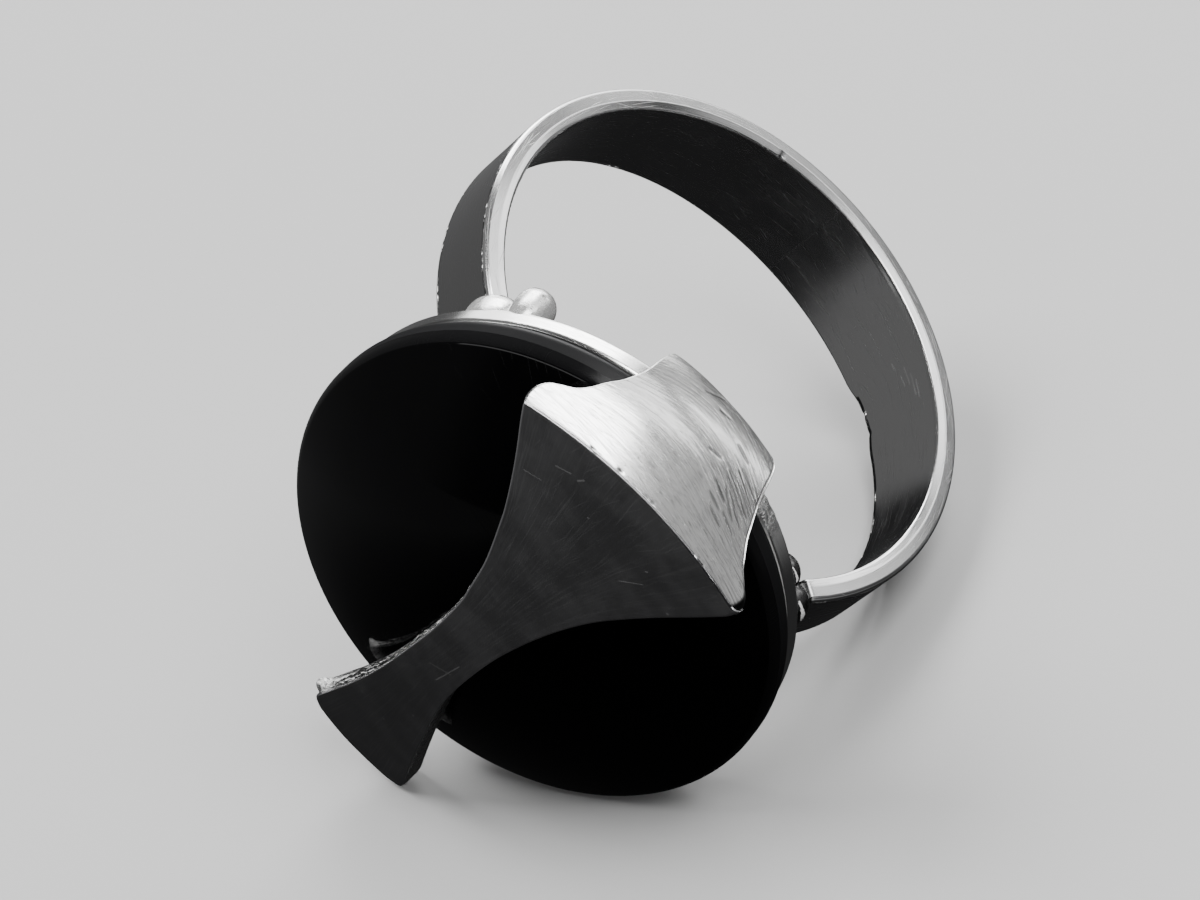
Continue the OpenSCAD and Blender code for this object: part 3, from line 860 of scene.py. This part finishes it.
satin_face, tree, shader, grain = new_material("satin_face")
apart = tree.nodes.new("ShaderNodeSeparateXYZ")
wire(tree, apart, Vector=grain)
along = tree.nodes.new("ShaderNodeCombineXYZ")
wire(tree, along, X=apart.outputs["Y"], Y=painted(tree, "across"))
lines = use(tree, brushing, Grain=along.outputs[0], Coarse_Share=0.5).outputs["Lines"]
hairs = use(tree, scratches, Grain=along.outputs[0], Amount=0.4).outputs["Mask"]
marks = math_node(tree, "MULTIPLY", hairs, 0.2)
cloud = stretched(tree, grain, 2.5, 1.5, 4.0, 4.0)
for start, end, width in FACE_SCRATCHES:
    mark = use(tree, one_scratch, Grain=grain, From=(*start, 0.0), To=(*end, 0.0), Width=width)
    marks = math_node(tree, "MAXIMUM", marks, math_node(tree, "MULTIPLY", mark.outputs["Mask"], 0.7))
height = math_node(tree, "SUBTRACT", lines, math_node(tree, "MULTIPLY", marks, 1.2))
pale = math_node(tree, "MAXIMUM", remap(tree, lines, 0.5, 0.75, 0.0, 0.5), marks)
wire(tree, shader, Metallic=1.0,
     Base_Color=blend(tree, pale, (0.59, 0.59, 0.6, 1), (0.82, 0.82, 0.82, 1)),
     Roughness=math_node(tree, "ADD", remap(tree, cloud, 0.3, 0.7, 0.3, 0.38),
                         math_node(tree, "MULTIPLY", marks, 0.22)),
     Normal=bump(tree, height, 0.000003))

filed_flap, tree, shader, grain = new_material("filed_flap")
lines = use(tree, brushing, Grain=grain, Coarse_Share=0.55).outputs["Lines"]
marks = use(tree, scratches, Grain=grain, Amount=0.5).outputs["Mask"]
height = math_node(tree, "SUBTRACT", lines, math_node(tree, "MULTIPLY", marks, 0.5))
bright = blend(tree, remap(tree, lines, 0.3, 0.55), (0.55, 0.55, 0.55, 1), (0.94, 0.94, 0.93, 1))
grit = remap(tree, stretched(tree, grain, 0.45, 0.05, 3.0, 9.0), 0.5, 0.68, 0.0, 0.7)
bright = blend(tree, grit, bright, (0.5, 0.5, 0.5, 1))
# painted shade in and round the gouges and on the corner beyond the tip
dark = math_node(tree, "MAXIMUM", math_node(tree, "MULTIPLY", painted(tree, "gouges_and_shade"), 0.75),
                 painted(tree, "corner"))
wire(tree, shader, Metallic=1.0, Base_Color=blend(tree, dark, bright, (0.13, 0.13, 0.13, 1)),
     Roughness=remap(tree, lines, 0.3, 0.7, 0.22, 0.13), Normal=bump(tree, height, 0.000005))

# the torn border is dark and pitted between matte whitish streaks, whitest at the tail's end
sawn_edge, tree, shader, grain = new_material("sawn_edge")
hollow = use(tree, pitting, Grain=grain, Pit_Size=0.15).outputs["Hollow"]
lines = use(tree, brushing, Grain=grain, Coarse_Share=0.5).outputs["Lines"]
apart = tree.nodes.new("ShaderNodeSeparateXYZ")
wire(tree, apart, Vector=grain)
walked_mm, depth_mm = apart.outputs["X"], apart.outputs["Y"]
streak = remap(tree, stretched(tree, grain, 1.3, 0.1, 3.0, 8.0), 0.54, 0.6)
end = math_node(tree, "MULTIPLY", remap(tree, walked_mm, 31.6, 30.5), hollow)
# painted highlight: a pale line along the torn wall near the tail's end
deep_line = remap(tree, math_node(tree, "ABSOLUTE", math_node(tree, "SUBTRACT", depth_mm, 0.72)), 0.13, 0.05)
near_end = math_node(tree, "MULTIPLY", remap(tree, walked_mm, 30.3, 30.6),
                     remap(tree, walked_mm, 33.2, 32.6))
highlight_line = math_node(tree, "MULTIPLY", deep_line, near_end)
matte = math_node(tree, "MAXIMUM", math_node(tree, "MULTIPLY", streak, 0.85),
                  math_node(tree, "MAXIMUM", end, highlight_line))
matte = math_node(tree, "MULTIPLY", matte, painted(tree, "torn"))
tone = blend(tree, hollow, (0.02, 0.02, 0.02, 1), (0.3, 0.3, 0.3, 1))
tone = blend(tree, painted(tree, "torn"), (0.5, 0.5, 0.5, 1), tone)
wire(tree, shader, Metallic=math_node(tree, "SUBTRACT", 1.0, math_node(tree, "MULTIPLY", matte, 0.95)),
     Base_Color=blend(tree, matte, tone, (0.95, 0.95, 0.94, 1)),
     Roughness=remap(tree, hollow, 0.0, 1.0, 0.45, 0.25),
     Normal=bump(tree, math_node(tree, "ADD", lines, math_node(tree, "MULTIPLY", hollow, 4.0)), 0.000006))

make_piece("strap", "silver_setting", strap_points, faces, uv,
           {"across": across_value, "gouges_and_shade": gouge_and_shade_value, "corner": corner_value, "torn": torn_value},
           [satin_face, filed_flap, sawn_edge], which)

# ---------------------------------------------------------------- table, light, camera
# Plain pale table top and soft lamps. What the silver mirrors of the table is a painted
# reflection, a glow in the table itself: dark, as a dark cloth round the ring would be, and paler behind and
# at the sides.
table_top, tree, shader, _ = new_material("table_top")
path = tree.nodes.new("ShaderNodeLightPath")
place = tree.nodes.new("ShaderNodeTexCoord")
mottle = tree.nodes.new("ShaderNodeTexNoise")
wire(tree, mottle, Vector=place.outputs["Object"], Scale=900.0, Detail=3.0)
wire(tree, shader, Base_Color=(0.45, 0.45, 0.45, 1), Roughness=0.8,
     Normal=bump(tree, mottle.outputs["Fac"], 0.00001))
apart = tree.nodes.new("ShaderNodeSeparateXYZ")
wire(tree, apart, Vector=place.outputs["Object"])
right = math_node(tree, "SUBTRACT", math_node(tree, "MULTIPLY", apart.outputs["X"], 1.3), 0.01)
left = math_node(tree, "MULTIPLY", apart.outputs["X"], -0.5)
behind = math_node(tree, "MULTIPLY", apart.outputs["Y"], 0.6)
away = math_node(tree, "ADD", math_node(tree, "MAXIMUM", right, left), behind)
# painted reflection: the table glows for all rays but the camera's
mirrored_glow = tree.nodes.new("ShaderNodeEmission")
wire(tree, mirrored_glow, Strength=1.0,
     Color=blend(tree, remap(tree, away, 0.005, 0.028), (0.02, 0.02, 0.0205, 1), (0.18, 0.18, 0.182, 1)))
seen = tree.nodes.new("ShaderNodeMixShader")
wire(tree, seen, _0=path.outputs["Is Camera Ray"], _1=mirrored_glow.outputs[0], _2=shader.outputs[0])
tree.links.new(seen.outputs[0], tree.nodes["Material Output"].inputs["Surface"])
TABLE_HALF = 1.5
mesh = bpy.data.meshes.new("table")
mesh.from_pydata([(-TABLE_HALF, -TABLE_HALF, 0), (TABLE_HALF, -TABLE_HALF, 0),
                  (TABLE_HALF, TABLE_HALF, 0), (-TABLE_HALF, TABLE_HALF, 0)], [], [(0, 1, 2, 3)])
mesh.materials.append(table_top)
table = bpy.data.objects.new("table", mesh)
bpy.context.collection.objects.link(table)

MID_RING = Vector((0, 0, 0.009))


def soft_light(name, azimuth, elevation, distance, width, height, brightness):
    """Area light that faces the ring. Azimuth 0 lies behind the ring, 90 to its right."""
    a, e = math.radians(azimuth), math.radians(elevation)
    data = bpy.data.lights.new(name, "AREA")
    data.shape, data.size, data.size_y = "RECTANGLE", width, height
    data.energy = brightness * math.pi * width * height
    lamp = bpy.data.objects.new(name, data)
    away = Vector((math.sin(a) * math.cos(e), math.cos(a) * math.cos(e), math.sin(e)))
    lamp.location = MID_RING + away * distance
    lamp.rotation_euler = away.to_track_quat("Z", "Y").to_euler()
    bpy.context.collection.objects.link(lamp)
    return lamp


soft_light("overhead_right", 128, 61.5, 0.5, 0.4, 0.25, 9.0)
soft_light("overhead_back", 80, 36, 0.5, 0.2, 0.16, 2.2)
soft_light("window_right", 63, 12, 0.5, 0.4, 0.2, 0.6)
soft_light("slit_right", 70.5, 11, 0.5, 0.07, 0.18, 2.0)
soft_light("window_back", 21, 24, 0.5, 0.5, 0.42, 3.0)
soft_light("pane_back", 22, 35, 0.45, 0.28, 0.15, 8.0)
soft_light("fill_front_right", 125, 24, 0.5, 0.6, 0.42, 0.4)
soft_light("rim_left", -130, 40, 0.5, 0.5, 0.045, 4.0)
# a broad lamp that lights rough and matte places only
soft_light("lamp_left", -60, 60, 0.5, 0.3, 0.3, 12.0).visible_glossy = False

# the room: paler behind and to the left, dark in front and to the right
world = bpy.data.worlds.new("room")
world.use_nodes = True
tree = world.node_tree
path = tree.nodes.new("ShaderNodeLightPath")
place = tree.nodes.new("ShaderNodeTexCoord")
toward = tree.nodes.new("ShaderNodeVectorMath")
toward.operation = "DOT_PRODUCT"
wire(tree, toward, _0=place.outputs["Generated"], _1=(-0.45, 0.7, 0.15))
room = blend(tree, remap(tree, toward.outputs["Value"], 0.12, 0.35),
             (0.02, 0.02, 0.0205, 1), (0.18, 0.18, 0.18, 1))
wire(tree, tree.nodes["Background"], Strength=1.0,
     Color=blend(tree, path.outputs["Is Camera Ray"], room, (0.6, 0.6, 0.6, 1)))
bpy.context.scene.world = world

lens = bpy.data.cameras.new("camera")
lens.lens, lens.sensor_width, lens.clip_start, lens.clip_end = 120.0, 36.0, 0.01, 10.0
camera = bpy.data.objects.new("camera", lens)
camera.matrix_world = Matrix((
    (0.959514, 0.280501, 0.025545, 0.003091),
    (-0.159105, 0.614616, -0.772614, -0.101109),
    (-0.232420, 0.737270, 0.634361, 0.091498),
    (0, 0, 0, 1)))
bpy.context.collection.objects.link(camera)
bpy.context.scene.camera = camera
